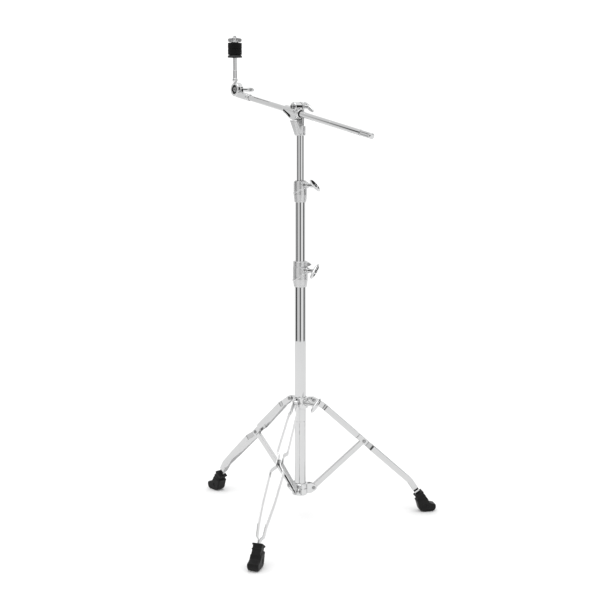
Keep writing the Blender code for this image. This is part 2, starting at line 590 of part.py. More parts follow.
# ================================================================= cymbal rod and felts
c_rod = lathe("t", [(0, ROD_TOP), (3.0, ROD_TOP), (3.9, ROD_TOP - 1.2), (3.9, 1184.2), (4.9, 1183.4), (4.9, 1151.6), (5.4, 1151.0),
                    (5.4, 1127.4), (0, 1127.4)], rod_m, segs=16)
axis_pt = D * TILTER_S + N * HEAD_N
finish(c_rod, "cymbal_rod", "chrome", axis_pt + Z * 1127.4)
seat = lathe("t", [(14.0, SEAT_Z[1]), (17.4, SEAT_Z[1] - 1.6), (19.0, SEAT_Z[0] + 1.2), (19.0, SEAT_Z[0]),
                   (5.4, SEAT_Z[0]), (5.4, SEAT_Z[0] + 0.9), (3.9 + GAP, SEAT_Z[0] + 0.9), (3.9 + GAP, SEAT_Z[1])], rod_m, segs=24, ring=True)
finish(seat, "seat_washer", "nylon", axis_pt + Z * SEAT_Z[0])
finish(ring("t", 5.9, 3.9 + GAP, SEAT_Z[1] + GAP, FELT_Z[3] - 1.0, rod_m, segs=16), "rod_sleeve", "nylon", axis_pt + Z * SEAT_Z[1])


def felt(name, z0, z1):
    prof = [(FELT_R - 1.6, z1), (FELT_R, z1 - 1.8), (FELT_R, z0 + 1.8), (FELT_R - 1.6, z0), (6.3, z0), (6.3, z1)]
    finish(lathe("t", prof, rod_m, segs=24, ring=True), name, "felt", axis_pt + Z * z0)


felt("lower_felt", FELT_Z[0], FELT_Z[1])
felt("upper_felt", FELT_Z[2], FELT_Z[3])

# wing nut on the cymbal rod
nut_z = FELT_Z[3] + GAP
nut = lathe("t", [(0, nut_z + 13.4), (5.2, nut_z + 13.4), (6.6, nut_z + 11.6), (6.6, nut_z + 5.0), (9.6, nut_z + 3.0), (9.6, nut_z),
                  (0, nut_z)], rod_m, segs=20)
ears = ([(4.0, nut_z + 3.4), (8.0, nut_z + 3.2)] + arc(13.4, nut_z + 8.4, 4.9, -70, 110, 5) + [(6.0, nut_z + 11.2), (4.0, nut_z + 11.0)])
turn = Matrix.Rotation(radians(90.0 - BOOM_AZ + 2.0), 4, "Z")   # ears across the front
ear_a = prism("ear", ears, -2.1, 2.1, rod_m @ turn @ frame(X, Z, -Y))
ear_b = prism("ear", ears, -2.1, 2.1, rod_m @ turn @ Matrix.Rotation(pi, 4, "Z") @ frame(X, Z, -Y))
merge(nut, [ear_a, ear_b], [rod("bore", 3.9 + GAP, nut_z - 4, nut_z + 30, rod_m, segs=16)])
finish(nut, "wing_nut", "cast", axis_pt + Z * nut_z)

for ob in list(cutters.objects):
    bpy.data.objects.remove(ob, do_unlink=True)
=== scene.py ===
"""Looks of the cymbal boom stand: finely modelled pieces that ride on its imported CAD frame.

Lengths in the shape functions are millimetres from the foot of the column's axis; done()
takes a piece into the row frame in metres. Places come from the CAD nodes and joints."""
import json
from math import sin, cos, pi, radians, hypot, floor as down

import bmesh
import bpy
from mathutils import Matrix, Vector, noise


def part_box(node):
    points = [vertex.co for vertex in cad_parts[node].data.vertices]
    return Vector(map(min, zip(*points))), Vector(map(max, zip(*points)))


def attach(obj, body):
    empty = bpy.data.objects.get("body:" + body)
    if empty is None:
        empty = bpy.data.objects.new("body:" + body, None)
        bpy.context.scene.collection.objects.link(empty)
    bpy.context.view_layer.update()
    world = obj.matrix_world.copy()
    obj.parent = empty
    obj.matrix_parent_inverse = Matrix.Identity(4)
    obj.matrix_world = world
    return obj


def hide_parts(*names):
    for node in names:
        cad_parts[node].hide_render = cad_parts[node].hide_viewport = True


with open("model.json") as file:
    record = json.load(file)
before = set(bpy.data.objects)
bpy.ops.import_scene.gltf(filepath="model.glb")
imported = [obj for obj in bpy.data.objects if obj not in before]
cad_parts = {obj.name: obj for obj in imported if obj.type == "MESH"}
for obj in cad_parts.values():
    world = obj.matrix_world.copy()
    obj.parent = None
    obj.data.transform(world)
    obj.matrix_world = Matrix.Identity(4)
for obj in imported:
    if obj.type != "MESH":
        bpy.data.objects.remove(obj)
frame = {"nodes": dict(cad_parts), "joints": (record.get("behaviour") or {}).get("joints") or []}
NODES = frame["nodes"]
JOINTS = {j["name"]: j for j in frame["joints"]}
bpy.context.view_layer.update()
MM, GAP = 0.001, 0.3
X, Y, Z = Vector((1, 0, 0)), Vector((0, 1, 0)), Vector((0, 0, 1))
scene = bpy.context.scene

lo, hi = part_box("base_tube")
COL = Vector(((lo.x + hi.x) / 2, (lo.y + hi.y) / 2, 0))

# ------------------------------------------------------------------ camera
cam_data = bpy.data.cameras.new("camera")
cam_data.lens, cam_data.sensor_width = 63.9, 36.0
cam_data.clip_end = 50
camera = bpy.data.objects.new("camera", cam_data)
camera.location = (COL.x - 0.0009, COL.y - 2.648, 0.970)
camera.rotation_euler = (radians(90 - 8.5), 0, 0)
scene.collection.objects.link(camera)
scene.camera = camera


# ------------------------------------------------------------------ places
def centre(node):
    a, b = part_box(node)
    return ((a + b) / 2 - COL) / MM


def point(joint):
    return (Vector(JOINTS[joint]["pos_m"]) - COL) / MM


def span(node, axis, at=Vector((0, 0, 0))):
    ds = [((v.co - COL) / MM - at).dot(axis) for v in NODES[node].data.vertices]
    return min(ds), max(ds)


def axes(x, y, z, at=(0, 0, 0)):
    m = Matrix((x, y, z)).transposed().to_4x4()
    m.translation = Vector(at)
    return m


def outward(joint):
    """Frame of a radial bolt: Z outward along it, X to its right, Y up; at its height on the column's axis."""
    a = Vector(JOINTS[joint]["axis"]).normalized()
    h = Vector((-a.y, a.x, 0))
    return axes(h, a.cross(h), a, (0, 0, point(joint).z))


# ------------------------------------------------------------------ mesh tools
def put(name, bm):
    bmesh.ops.recalc_face_normals(bm, faces=bm.faces)
    me = bpy.data.meshes.new(name)
    bm.to_mesh(me)
    bm.free()
    ob = bpy.data.objects.new(name, me)
    scene.collection.objects.link(ob)
    return ob


def bake(ob):
    bpy.context.view_layer.update()
    me = bpy.data.meshes.new_from_object(ob.evaluated_get(bpy.context.evaluated_depsgraph_get()))
    old = ob.data
    ob.modifiers.clear()
    ob.data = me
    bpy.data.meshes.remove(old)
    return ob


def arc(cx, cy, r, a0, a1, n):
    return [(cx + r * cos(radians(a0 + (a1 - a0) * k / n)), cy + r * sin(radians(a0 + (a1 - a0) * k / n)))
            for k in range(n + 1)]


def fillet(pts, r, closed=False, n=3):
    """Round the corners of an outline or a profile by Bezier arcs."""
    out, count = [], len(pts)
    for i, p in enumerate(pts):
        if not closed and i in (0, count - 1):
            out.append(p)
            continue
        a, b = Vector(pts[i - 1]) - Vector(p), Vector(pts[(i + 1) % count]) - Vector(p)
        if min(a.length, b.length) < 1e-4 or abs(a.angle(b) - pi) < radians(8):
            out.append(p)
            continue
        t = min(r, 0.45 * a.length, 0.45 * b.length)
        s, e = Vector(p) + a.normalized() * t, Vector(p) + b.normalized() * t
        for k in range(n + 1):
            f = k / n
            q = s * (1 - f) ** 2 + Vector(p) * 2 * f * (1 - f) + e * f * f
            out.append((q.x, q.y))
    return out


def turned(prof, m=Matrix(), segs=64, closed=False, soft=0.0, shape=None):
    """Turned solid from a profile of (radius, height). shape(r, h, angle) may vary the radius."""
    if soft:
        prof = fillet(prof, soft, closed)
    bm = bmesh.new()
    rings = []
    for r, h in prof:
        if r < 1e-6:
            rings.append([bm.verts.new(m @ Vector((0, 0, h)))])
            continue
        row = []
        for k in range(segs):
            a = 2 * pi * k / segs
            q = shape(r, h, a) if shape else r
            row.append(bm.verts.new(m @ Vector((q * cos(a), q * sin(a), h))))
        rings.append(row)
    for A, B in list(zip(rings, rings[1:])) + ([(rings[-1], rings[0])] if closed else []):
        for k in range(segs):
            j = (k + 1) % segs
            if len(A) == 1 and len(B) == 1:
                break
            if len(A) == 1:
                bm.faces.new((A[0], B[k], B[j]))
            elif len(B) == 1:
                bm.faces.new((A[k], B[0], A[j]))
            else:
                bm.faces.new((A[k], B[k], B[j], A[j]))
    return put("turned", bm)


def tube(r_out, r_in, z0, z1, m=Matrix(), segs=96, soft=0.35, grooves=()):
    """Open tube with softened ends and fine scribed rings."""
    outer = [(r_out, z1)]
    for g in sorted(grooves, reverse=True):
        outer += [(r_out, g + 0.45), (r_out - 0.22, g + 0.15), (r_out - 0.22, g - 0.15), (r_out, g - 0.45)]
    prof = outer + [(r_out, z0), (r_in, z0), (r_in, z1)]
    return turned(prof, m, segs, closed=True, soft=soft)


def dense(prof, step):
    """Insert points so that no stretch of a profile is longer than step."""
    out = [prof[0]]
    for a, b in zip(prof, prof[1:]):
        n = max(1, int(hypot(b[0] - a[0], b[1] - a[1]) / step + 0.5))
        out += [(a[0] + (b[0] - a[0]) * k / n, a[1] + (b[1] - a[1]) * k / n) for k in range(1, n + 1)]
    return out


def plate(outline, t0, t1, m=Matrix(), bevel=0.0, segs=2):
    """Flat outline in the frame's XY plane, thick along its Z, with rounded edges."""
    bm = bmesh.new()
    face = bm.faces.new([bm.verts.new((x, y, t0)) for x, y in outline])
    top = bmesh.ops.extrude_face_region(bm, geom=[face])
    bmesh.ops.translate(bm, vec=(0, 0, t1 - t0), verts=[g for g in top["geom"] if isinstance(g, bmesh.types.BMVert)])
    ob = put("plate", bm)
    ob.data.transform(m)
    if bevel:
        be = ob.modifiers.new("edge", "BEVEL")
        be.width, be.segments, be.limit_method, be.angle_limit = bevel, segs, "ANGLE", radians(50)
        bake(ob)
    return ob


def hexagon(r, z0, z1, m):
    return plate([(r * cos(k * pi / 3), r * sin(k * pi / 3)) for k in range(6)], z0, z1, m)


def hull(points):
    bm = bmesh.new()
    for p in points:
        bm.verts.new(p)
    res = bmesh.ops.convex_hull(bm, input=bm.verts)
    bmesh.ops.delete(bm, geom=[g for g in res["geom_interior"] if isinstance(g, bmesh.types.BMVert)], context="VERTS")
    return put("hull", bm)


def rod(r, z0, z1, m=Matrix(), segs=48, soft=0.0):
    return turned([(0, z1), (r, z1), (r, z0), (0, z0)], m, segs, soft=soft)


def block(lo, hi, m=Matrix(), bevel=0.0):
    return plate([(lo[0], lo[1]), (hi[0], lo[1]), (hi[0], hi[1]), (lo[0], hi[1])], lo[2], hi[2], m, bevel)


def extent(*meshes):
    cs = [v.co for me in meshes for v in me.vertices]
    return [f(c[i] for c in cs) for i in range(3) for f in (min, max)] if cs else [0.0] * 6


def merge(ob, add=(), cut=()):
    """Join and cut. A result whose extent is wrong is done again with the tool moved by a hair."""
    for op, tools in (("UNION", add), ("DIFFERENCE", cut)):
        for tool in tools:
            want = extent(ob.data, tool.data) if op == "UNION" else extent(ob.data)
            start = ob.data.copy()
            for nudge in (0.0, 0.013, -0.017, 0.029, None):
                if nudge is None:
                    raise RuntimeError("no clean boolean on " + ob.name)
                tool.location = Vector((nudge, nudge * 0.7, -nudge * 0.6))
                mod = ob.modifiers.new(op, "BOOLEAN")
                mod.operation, mod.solver, mod.object = op, "EXACT", tool
                bake(ob)
                got = extent(ob.data)
                off = [abs(g - w) for g, w in zip(got, want)]
                grown = any((got[2 * i] < want[2 * i] - 0.05) or (got[2 * i + 1] > want[2 * i + 1] + 0.05) for i in range(3))
                if len(ob.data.vertices) and not grown and (op == "DIFFERENCE" or max(off) < 0.05):
                    break
                old, ob.data = ob.data, start.copy()
                bpy.data.meshes.remove(old)
            bpy.data.meshes.remove(start)
            bpy.data.objects.remove(tool, do_unlink=True)
    return ob


def moulded(ob, voxel=0.5, rounds=4):
    """Die-cast or moulded body: blend every joint and edge into small fillets."""
    re = ob.modifiers.new("skin", "REMESH")
    re.mode, re.voxel_size, re.use_smooth_shade = "VOXEL", voxel, True
    sm = ob.modifiers.new("fillets", "SMOOTH")
    sm.factor, sm.iterations = 0.5, rounds
    bake(ob)
    ob["moulded"] = True
    return ob


# ------------------------------------------------------------------ materials
def nodes_of(name):
    mat = bpy.data.materials.new(name)
    mat.use_nodes = True
    nt = mat.node_tree
    return mat, nt, nt.nodes["Principled BSDF"]


class Graph:
    """Short hand for a procedural node tree on object coordinates."""

    def __init__(self, nt):
        self.nt, self.link = nt, nt.links.new
        self.co = nt.nodes.new("ShaderNodeTexCoord").outputs["Object"]

    def stretch(self, sx, sy, sz):
        n = self.nt.nodes.new("ShaderNodeMapping")
        n.inputs["Scale"].default_value = (sx, sy, sz)
        self.link(self.co, n.inputs["Vector"])
        return n.outputs["Vector"]

    def noise(self, scale, detail=4.0, rough=0.55, vec=None):
        n = self.nt.nodes.new("ShaderNodeTexNoise")
        n.inputs["Scale"].default_value = scale
        n.inputs["Detail"].default_value = detail
        n.inputs["Roughness"].default_value = rough
        self.link(vec or self.co, n.inputs["Vector"])
        return n.outputs["Fac"]

    def cells(self, scale):
        n = self.nt.nodes.new("ShaderNodeTexVoronoi")
        n.inputs["Scale"].default_value = scale
        self.link(self.co, n.inputs["Vector"])
        return n.outputs["Distance"]

    def edges(self, lo, hi):
        """0 in hollows and on faces, 1 on worn convex edges."""
        g = self.nt.nodes.new("ShaderNodeNewGeometry")
        return self.span(g.outputs["Pointiness"], lo, hi, 0, 1)

    def span(self, value, a, b, c, d):
        n = self.nt.nodes.new("ShaderNodeMapRange")
        n.inputs["From Min"].default_value, n.inputs["From Max"].default_value = a, b
        n.inputs["To Min"].default_value, n.inputs["To Max"].default_value = c, d
        self.link(value, n.inputs["Value"])
        return n.outputs["Result"]

    def math(self, op, a, b):
        n = self.nt.nodes.new("ShaderNodeMath")
        n.operation = op
        for k, v in enumerate((a, b)):
            if isinstance(v, (int, float)):
                n.inputs[k].default_value = v
            else:
                self.link(v, n.inputs[k])
        return n.outputs[0]

    def ramp(self, value, *stops):
        n = self.nt.nodes.new("ShaderNodeValToRGB")
        el = n.color_ramp.elements
        while len(el) < len(stops):
            el.new(0.5)
        for e, (pos, col) in zip(el, stops):
            e.position, e.color = pos, (*col, 1)
        self.link(value, n.inputs["Fac"])
        return n.outputs["Color"]

    def bump(self, height, strength, distance, normal=None):
        n = self.nt.nodes.new("ShaderNodeBump")
        n.inputs["Strength"].default_value = strength
        n.inputs["Distance"].default_value = distance
        self.link(height, n.inputs["Height"])
        if normal:
            self.link(normal, n.inputs["Normal"])
        return n.outputs["Normal"]


def grey(v, warm=0.0):
    return (v * (1 + warm), v, v * (1 - warm))


def metal(name, tone, rough, grain, bump, streak=(1, 1, 1), spread=0.04, wear=0.0):
    """Plated metal: slow colour drift, hazy smudges, directional grain, polished or dulled edges."""
    mat, nt, bsdf = nodes_of(name)
    g = Graph(nt)
    bsdf.inputs["Metallic"].default_value = 1.0
    drift = g.noise(9.0, 5.0, 0.6)
    smudge = g.noise(38.0, 7.0, 0.68)
    line = g.noise(grain, 3.0, 0.5, g.stretch(*streak))
    tone_in = g.math("ADD", g.math("MULTIPLY", drift, 0.6), g.math("MULTIPLY", smudge, 0.4))
    if wear:
        tone_in = g.math("ADD", tone_in, g.math("MULTIPLY", g.edges(0.505, 0.56), wear))
    g.link(g.ramp(tone_in, (0.30, grey(tone * (1 - spread), -0.004)), (0.55, grey(tone, -0.004)), (0.85, grey(min(1, tone * (1 + spread)), 0.0))),
           bsdf.inputs["Base Color"])
    r = g.math("ADD", g.span(smudge, 0.35, 0.75, rough * 0.7, rough * 1.5), g.math("MULTIPLY", line, rough * 0.5))
    g.link(r, bsdf.inputs["Roughness"])
    if bump:
        g.link(g.bump(line, bump, 0.0002), bsdf.inputs["Normal"])
    return mat


MATS = {
    "chrome": metal("polished_chrome", 0.63, 0.020, 900, 0.006, (1, 1, 0.12), 0.03),
    "cast": metal("satin_cast_chrome", 0.60, 0.30, 520, 0.035, (1, 1, 1), 0.05, wear=0.2),
    "bright": metal("polished_cast_chrome", 0.66, 0.045, 420, 0.03, (1, 1, 1), 0.04, wear=0.12),
    "satin": metal("satin_nut_chrome", 0.50, 0.30, 520, 0.08, (1, 1, 1), 0.06, wear=0.3),
    "steel": metal("pressed_steel", 0.60, 0.05, 700, 0.03, (1, 1, 0.5), 0.04, wear=0.2),
    "zinc": metal("zinc_fastener", 0.34, 0.20, 1200, 0.12, (1, 1, 1), 0.12, wear=0.3),
}


def dark(name, base, rough, cell, fine, bump, sheen=0.0, fibre=None, spec=0.5):
    mat, nt, bsdf = nodes_of(name)
    g = Graph(nt)
    big, small = g.noise(55.0, 6.0, 0.65), g.noise(fine, 5.0, 0.6, g.stretch(*fibre) if fibre else None)
    mix = g.math("ADD", g.math("MULTIPLY", big, 0.55), g.math("MULTIPLY", small, 0.45))
    mix = g.math("ADD", mix, g.math("MULTIPLY", g.edges(0.51, 0.58), 0.18))
    g.link(g.ramp(mix, (0.30, grey(base * 0.55)), (0.55, grey(base, 0.02)), (0.85, grey(base * 2.4, 0.03))), bsdf.inputs["Base Color"])
    g.link(g.span(big, 0.3, 0.7, rough * 0.85, min(1.0, rough * 1.15)), bsdf.inputs["Roughness"])
    height = g.math("ADD", g.cells(cell), g.math("MULTIPLY", small, 1.2))
    g.link(g.bump(height, bump, 0.0004), bsdf.inputs["Normal"])
    bsdf.inputs["Specular IOR Level"].default_value = spec
    if sheen:
        bsdf.inputs["Sheen Weight"].default_value = sheen
        bsdf.inputs["Sheen Roughness"].default_value = 0.6
        bsdf.inputs["Sheen Tint"].default_value = (0.5, 0.5, 0.52, 1)
    return mat


MATS["nylon"] = dark("moulded_nylon", 0.006, 0.45, 1500, 2200, 0.08, spec=0.28)
MATS["rubber"] = dark("moulded_rubber", 0.0035, 0.50, 1100, 1700, 0.22, spec=0.22)
MATS["felt"] = dark("black_wool_felt", 0.006, 0.97, 2600, 3400, 0.75, sheen=0.06, fibre=(0.35, 0.35, 1.6), spec=0.06)


def done(ob, name, body, slot, *nodes, sharp=38, look=None):
    """Into the row frame in metres, with its finish, on its body, in the CAD node's place."""
    ob.data.transform(Matrix.Translation(COL) @ Matrix.Scale(MM, 4))
    ob.data.update()
    ob.name = ob.data.name = name
    ob.data.materials.clear()
    ob.data.materials.append(MATS[look or slot])
    ob.data.shade_smooth()
    if not ob.get("moulded"):
        ob.data.set_sharp_from_angle(angle=radians(sharp))
        wn = ob.modifiers.new("normals", "WEIGHTED_NORMAL")
        wn.keep_sharp = True
    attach(ob, body)
    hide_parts(*nodes)
    return ob


# ------------------------------------------------------------------ column
BASE_R = (hi.x - lo.x) / 2 / MM
BASE_R = max(BASE_R, 14.28)
base_z, mid_z, top_z = (span(n, Z) for n in ("base_tube", "middle_tube", "top_tube"))
MID_R, TOP_R, WALL = 12.7, 9.525, 1.2
done(tube(BASE_R, BASE_R - WALL, *base_z, grooves=(263.0,)), "base_tube_chromed", "base", "chrome", "base_tube")
done(tube(MID_R, MID_R - WALL, *mid_z), "middle_tube_chromed", "middle", "chrome", "middle_tube")
done(tube(TOP_R, TOP_R - WALL, *top_z), "top_tube_chromed", "top", "chrome", "top_tube")
plug = turned([(0, 88), (BASE_R - WALL - GAP, 88), (BASE_R - WALL - GAP, 72.4), (9.6, 72.4), (9.6, 67.2), (6.5, 67.2), (5.8, 69.0), (0, 69.0)], segs=64, soft=0.5)
done(plug, "base_tube_end_plug", "base", "nylon", "base_tube_plug")

# ------------------------------------------------------------------ tripod
LEGS = {}
for tag in ("front", "left", "right"):
    hub_pt, knee_pt, low_pt = (centre(f"{tag}_{p}_pin") for p in ("hub", "knee", "lower"))
    u = Vector((hub_pt.x, hub_pt.y, 0)).normalized()
    LEGS[tag] = (u, Vector((-u.y, u.x, 0)))
PIVOT_R, HUB_Z, KNEE_R, KNEE_Z, LOW_Z = hub_pt.xy.length, hub_pt.z, knee_pt.xy.length, knee_pt.z, low_pt.z
ARM = hypot(KNEE_R - PIVOT_R, KNEE_Z - LOW_Z)
STRAP_W, STRAP_T, BRACE_W, BRACE_T, BRACE_WALL = 14.6, 2.5, 14.0, 8.0, 1.6
LUG_IN, LUG_T, TONGUE_T, PIN_HOLE = BRACE_T / 2 + 0.45, 4.5, 9.0, 3.25
LEG_TOE, LEG_END = (312.5, 56.5), (328.0, 33.0)


def leg_frame(u, t, at=(0, 0, 0)):
    """X outward, Y up, thickness across the leg's plane."""
    return axes(u, Z, -t, at)


body = turned([(16.9, 98.5), (18.6, 96.8), (18.6, 88.5), (18.0, 87.9), (18.0, 85.7), (18.6, 85.1), (18.6, 70.5), (16.6, 68.0), (10.2, 68.0), (10.2, 71.6),
               (BASE_R + GAP, 71.6), (BASE_R + GAP, 98.5)], segs=96, closed=True)
add, cut = [], []
for u, t in LEGS.values():
    out = [(15.6, 71.5), (27.0, 71.5)] + arc(PIVOT_R, LOW_Z, 8.6, -58, 78, 14) + [(27.0, 96.4), (15.6, 96.4)]
    for side in (-1, 1):
        a, b = sorted((side * LUG_IN, side * (LUG_IN + LUG_T)))
        add.append(plate(out, a, b, leg_frame(u, t)))
    cut.append(rod(PIN_HOLE, -12, 12, leg_frame(u, t, u * PIVOT_R + Z * LOW_Z)))
done(moulded(merge(body, add, cut), 0.5, 3), "lower_collar_casting", "base", "cast", "lower_collar", look="bright")

hub_m = outward("hub_wing_spin")
body = turned([(18.0, 325.0), (19.6, 323.4), (19.6, 314.5), (19.0, 313.9), (19.0, 311.1), (19.6, 310.5), (19.6, 298.6), (18.0, 296.5), (BASE_R + GAP, 296.5),
               (BASE_R + GAP, 325.0)], segs=96, closed=True)
add, cut = [], []
for u, t in LEGS.values():
    out = ([(16.4, HUB_Z - 14), (25.0, HUB_Z - 10.5)] + arc(PIVOT_R, HUB_Z, 7.4, -60, 90, 14)
           + [(26.0, HUB_Z + 7.9), (16.4, HUB_Z + 7.9)])
    add.append(plate(out, -TONGUE_T / 2, TONGUE_T / 2, leg_frame(u, t)))
    cut.append(rod(PIN_HOLE, -12, 12, leg_frame(u, t, u * PIVOT_R + Z * HUB_Z)))
add.append(turned([(0, 30.5), (6.6, 30.5), (7.2, 29.6), (7.2, 17.0), (0, 17.0)], hub_m))
cut.append(rod(3.6, 10.0, 40.0, hub_m))
done(moulded(merge(body, add, cut), 0.5, 3), "leg_hub_casting", "hub", "cast", "leg_hub", look="bright")


def pivot_pin(name, node, body, u, t, r, z, half):
    """Riveted pin: domed head one side, peened and dimpled the other."""
    g = half + GAP
    prof = [(0, g + 1.9), (1.6, g + 1.8), (3.1, g + 1.35), (4.2, g + 0.7), (4.7, g + 0.15), (4.7, g), (2.9, g), (2.9, -g), (4.7, -g),
            (4.7, -g - 0.6), (4.0, -g - 1.5), (2.6, -g - 1.9), (1.7, -g - 1.8), (1.1, -g - 1.1), (0, -g - 1.0)]
    done(turned(prof, leg_frame(u, t, u * r + Z * z), segs=48, soft=0.25), name, body, "zinc", node)


def unit(a, b):
    d = (b[0] - a[0], b[1] - a[1])
    n = hypot(*d)
    return d[0] / n, d[1] / n


def leg_line():
    """Stations (radius, height, sideways offset) along a strap, at each bend."""
    hub, p1, knee = (PIVOT_R, HUB_Z), (PIVOT_R + 27.5, HUB_Z - 18.5), (KNEE_R, KNEE_Z)
    bend, toe, end = (293.0, 86.0), LEG_TOE, LEG_END
    t_hub, t_knee, t_toe = TONGUE_T / 2 + 0.4 + STRAP_T / 2, BRACE_T / 2 + 0.4 + STRAP_T / 2, 0.25 + STRAP_T / 2
    d = unit(hub, p1)
    w = STRAP_W / 2
    st = [(hub[0] - d[0] * w, hub[1] - d[1] * w, t_hub), (p1[0] - d[0] * 3, p1[1] - d[1] * 3, t_hub), (*p1, t_hub + 0.4)]
    for a, b, offs in ((p1, knee, ((4.0, 10.0), (-28, 13.0), (-25.5, 12.4), (-21.0, t_knee), (-0.01, t_knee))),
                       (knee, bend, ((12.0, t_knee), (21.0, 14.0), (27.0, 16.6), (-55, 14.2), (-8, 10.4), (-0.01, 9.8))),
                       (bend, toe, ((9.0, 9.0), (-9.0, 8.0), (-2.0, t_toe)))):
        d = unit(a, b)
        full = hypot(b[0] - a[0], b[1] - a[1])
        for s, o in offs:
            s = s if s > 0 else full + s
            st.append((a[0] + d[0] * s, a[1] + d[1] * s, o))
    st.append((*end, t_toe))
    return [Vector(p) for p in st]


def smooth_line(stations, step=1.4, window=2):
    """Even steps along a polyline with its corners eased."""
    pts = []
    for a, b in zip(stations, stations[1:]):
        n = max(1, int((b - a).length / step + 0.5))
        pts += [a.lerp(b, k / n) for k in range(n)]
    pts.append(stations[-1])
    for _ in range(2):
        new = []
        for i in range(len(pts)):
            w = min(window, i, len(pts) - 1 - i)
            acc = Vector((0, 0, 0))
            for k in range(-w, w + 1):
                acc += pts[i + k]
            new.append(acc / (2 * w + 1))
        pts = new
    return pts


def strap(name, node, body, u, t, side):
    """Pressed flat strap: rounded section swept along its joggled line."""
    line = smooth_line(leg_line(), 1.1, 1)
    pts = [u * p.x + Z * p.y + t * side * p.z for p in line]
    run = [0.0]
    for a, b in zip(pts, pts[1:]):
        run.append(run[-1] + (b - a).length)
    hw, ht, c = STRAP_W / 2, STRAP_T / 2, 0.75
    corner = [(-hw + c - c * cos(a), ht - c + c * sin(a)) for a in (radians(q) for q in (0, 30, 60, 90))]
    sect = corner + [(-x, y) for x, y in reversed(corner)] + [(-x, -y) for x, y in corner] + [(x, -y) for x, y in reversed(corner)]
    bm = bmesh.new()
    rings = []
    for i, p in enumerate(pts):
        a, b = pts[max(0, i - 1)], pts[min(len(pts) - 1, i + 1)]
        T = (b - a).normalized()
        B = (t - T * t.dot(T)).normalized()
        n = B.cross(T)
        s = run[i]
        shrink = 1.0
        if s < hw:
            shrink = max(0.12, (1 - (1 - s / hw) ** 2) ** 0.5)
        rings.append([bm.verts.new(p + n * (x * shrink) + B * y) for x, y in sect])
    for A, B in zip(rings, rings[1:]):
        for k in range(len(sect)):
            j = (k + 1) % len(sect)
            bm.faces.new((A[k], B[k], B[j], A[j]))
    bm.faces.new(rings[0])
    bm.faces.new(list(reversed(rings[-1])))
    ob = put("strap", bm)
    holes = [rod(PIN_HOLE - 0.1, -30, 30, leg_frame(u, t, u * r + Z * z), 32) for r, z in ((PIVOT_R, HUB_Z), (KNEE_R, KNEE_Z))]
    done(merge(ob, cut=holes), name, body, "steel", node, sharp=45)


def brace(name, node, body, u, t):
    """Folded U channel, open below, with rolled edges."""
    d = unit((PIVOT_R, LOW_Z), (KNEE_R, KNEE_Z))
    n = (-d[1], d[0])
    m = axes(u * d[0] + Z * d[1], u * n[0] + Z * n[1], -t, u * PIVOT_R + Z * LOW_Z)
    r = BRACE_W / 2
    out = arc(ARM, 0, r, -90, 90, 24) + arc(0, 0, r, 90, 270, 24)
    ob = plate(out, -BRACE_T / 2, BRACE_T / 2, m, 1.1, 3)
    wall = BRACE_T / 2 - BRACE_WALL
    cut = [block((-20, -r - 2, -wall), (ARM + 20, r - BRACE_WALL, wall), m, 0.7),
           rod(PIN_HOLE, -12, 12, m, 32), rod(PIN_HOLE, -12, 12, m @ Matrix.Translation((ARM, 0, 0)), 32)]
    done(merge(ob, cut=cut), name, body, "steel", node, sharp=45)


def foot(name, node, body, u, t):
    """Moulded rubber boot: lipped sleeve, waist, flared shoe with a turned-up toe and a ribbed sole."""
    m = leg_frame(u, t)
    d = unit(LEG_TOE, LEG_END)
    n = (-d[1], d[0])
    top = (317.0, 50.2)
    axis_m = axes(u * d[0] + Z * d[1], u * n[0] + Z * n[1], -t, u * top[0] + Z * top[1])
    # sleeve: rounded box along the strap, a little narrower at its waist
    sleeve = plate(fillet([(1.0, -11.2), (1.0, 11.6), (12.0, 11.2), (30.0, 12.6), (38.0, 4.0), (34.0, -14.0), (16.0, -10.6)], 2.5, True),
                   -11.0, 11.0, axis_m, 3.0, 3)
    lip = plate(fillet([(0.0, -12.4), (0.0, 12.4), (4.6, 12.2), (4.6, -12.2)], 1.2, True), -12.8, 12.8, axis_m, 2.2, 3)
    band_ = plate(fillet([(12.0, -11.9), (12.0, 12.2), (15.0, 12.2), (15.0, -11.9)], 0.8, True), -11.9, 11.9, axis_m, 1.6, 2)
    shoe_out = ([(309.8, 33.0), (313.6, 25.0)] + arc(331.5, 14.0, 14.0, 200, 270, 10) + arc(352.0, 12.5, 12.3, -90, 35, 14)
                + [(352.5, 22.0), (346.4, 25.0), (341.0, 33.5), (330.0, 35.0)])
    shoe = plate(shoe_out, -13.9, 13.9, m, 4.6, 4)
    knob = plate(arc(352.4, 14.6, 7.2, 0, 345, 23), -9.5, 9.5, m, 3.4, 3)
    half, th = STRAP_W / 2 + 0.5, STRAP_T + 0.75
    cut = [block((-30, -half, -th), (25.6, half, th), axis_m)]
    for k in range(5):                                    # tread grooves
        x = 324.0 + k * 6.4
        cut.append(block((x, -2.0, -20), (x + 2.0, 1.4, 20), m))
    for side in (-1, 1):                                  # thumb hollow on each flank
        cut.append(rod(5.6, side * 15.2 - 2.6, side * 15.2 + 2.6, m @ Matrix.Translation((332.5, 17.0, 0)), 40))
    ob = moulded(merge(sleeve, [lip, band_, shoe, knob], cut), 0.6, 3)
    done(ob, name, body, "rubber", node)


